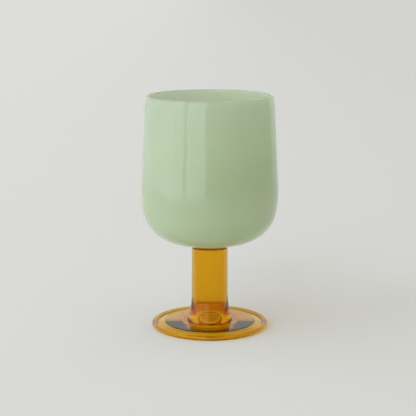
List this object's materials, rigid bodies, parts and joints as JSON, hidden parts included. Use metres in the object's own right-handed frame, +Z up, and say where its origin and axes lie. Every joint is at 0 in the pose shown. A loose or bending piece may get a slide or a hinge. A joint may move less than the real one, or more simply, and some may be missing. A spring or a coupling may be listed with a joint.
{
  "type": "wine glass",
  "caption": "Footed wine glass with a deep opal bowl on a short, wide, hollow amber tube stem and a thin round amber foot with a beaded edge.",
  "frame": {"origin": "centre of the plane that the foot stands on", "axes": "+Z up along the axis of the stem and bowl; X and Y are any two horizontal directions"},
  "size_m": [0.0832, 0.0832, 0.142],
  "materials": {
    "opal_green_glass": "glossy, nearly opaque opal glass, fire-polished rim",
    "amber_glass": "glossy, clear amber glass"
  },
  "bodies": {
    "root": {"bowl": "opal_green_glass", "stem": "amber_glass", "foot": "amber_glass"}
  },
  "joints": []
}
